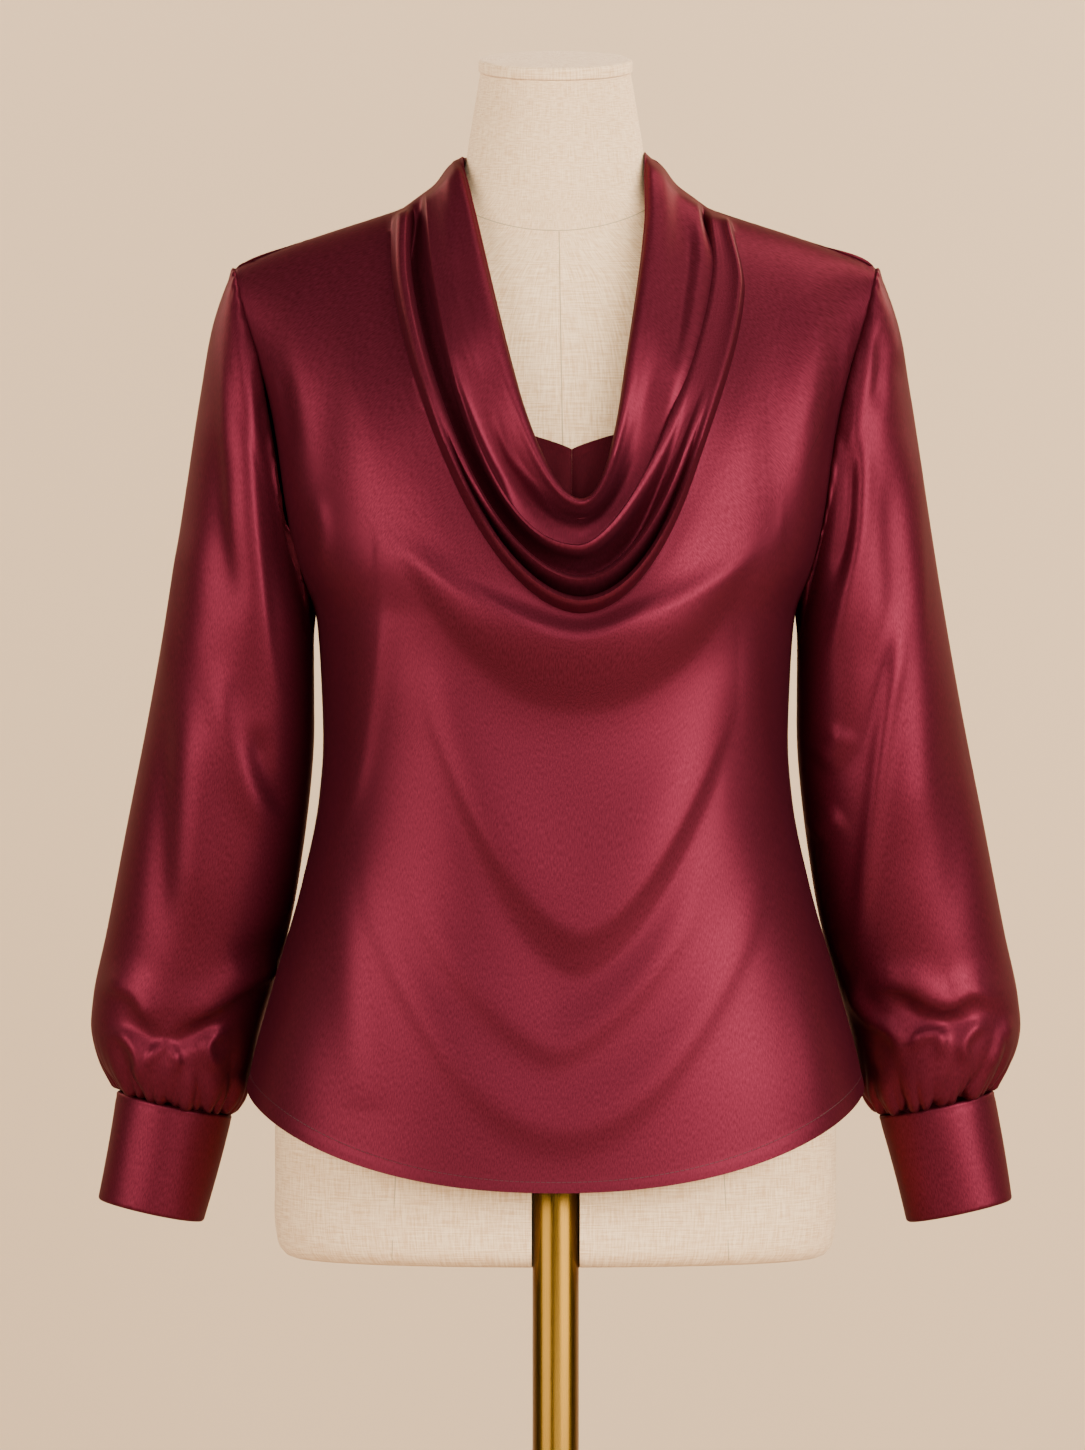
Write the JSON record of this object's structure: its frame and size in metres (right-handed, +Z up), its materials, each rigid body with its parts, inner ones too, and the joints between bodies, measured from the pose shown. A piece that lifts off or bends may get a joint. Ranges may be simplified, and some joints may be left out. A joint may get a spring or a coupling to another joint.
{
  "type": "blouse on a dress form",
  "caption": "Long-sleeved satin blouse with a draped cowl neck, gathered sleeves and deep cuffs, on a limbless linen dress form with a brass pole and round base.",
  "frame": {"origin": "on the floor under the middle of the round base", "axes": "+Z up, -Y towards the viewer of the front, +X towards the right of the front view"},
  "size_m": [0.5964, 0.38, 1.1805],
  "materials": {
    "satin": "burgundy satin, glossy face, soft drape",
    "linen": "cream plain-weave linen pulled tight over the form",
    "brass": "satin-polished brass tube",
    "base_metal": "brushed brass plate"
  },
  "bodies": {
    "root": {"front": "satin", "back": "satin", "back_collar": "satin", "inner_panel_left": "satin", "inner_panel_right": "satin", "sleeve_left": "satin", "sleeve_right": "satin", "cuff_left": "satin", "cuff_right": "satin", "form": "linen", "neck_cap": "linen", "pole": "brass", "base": "base_metal"}
  },
  "joints": []
}
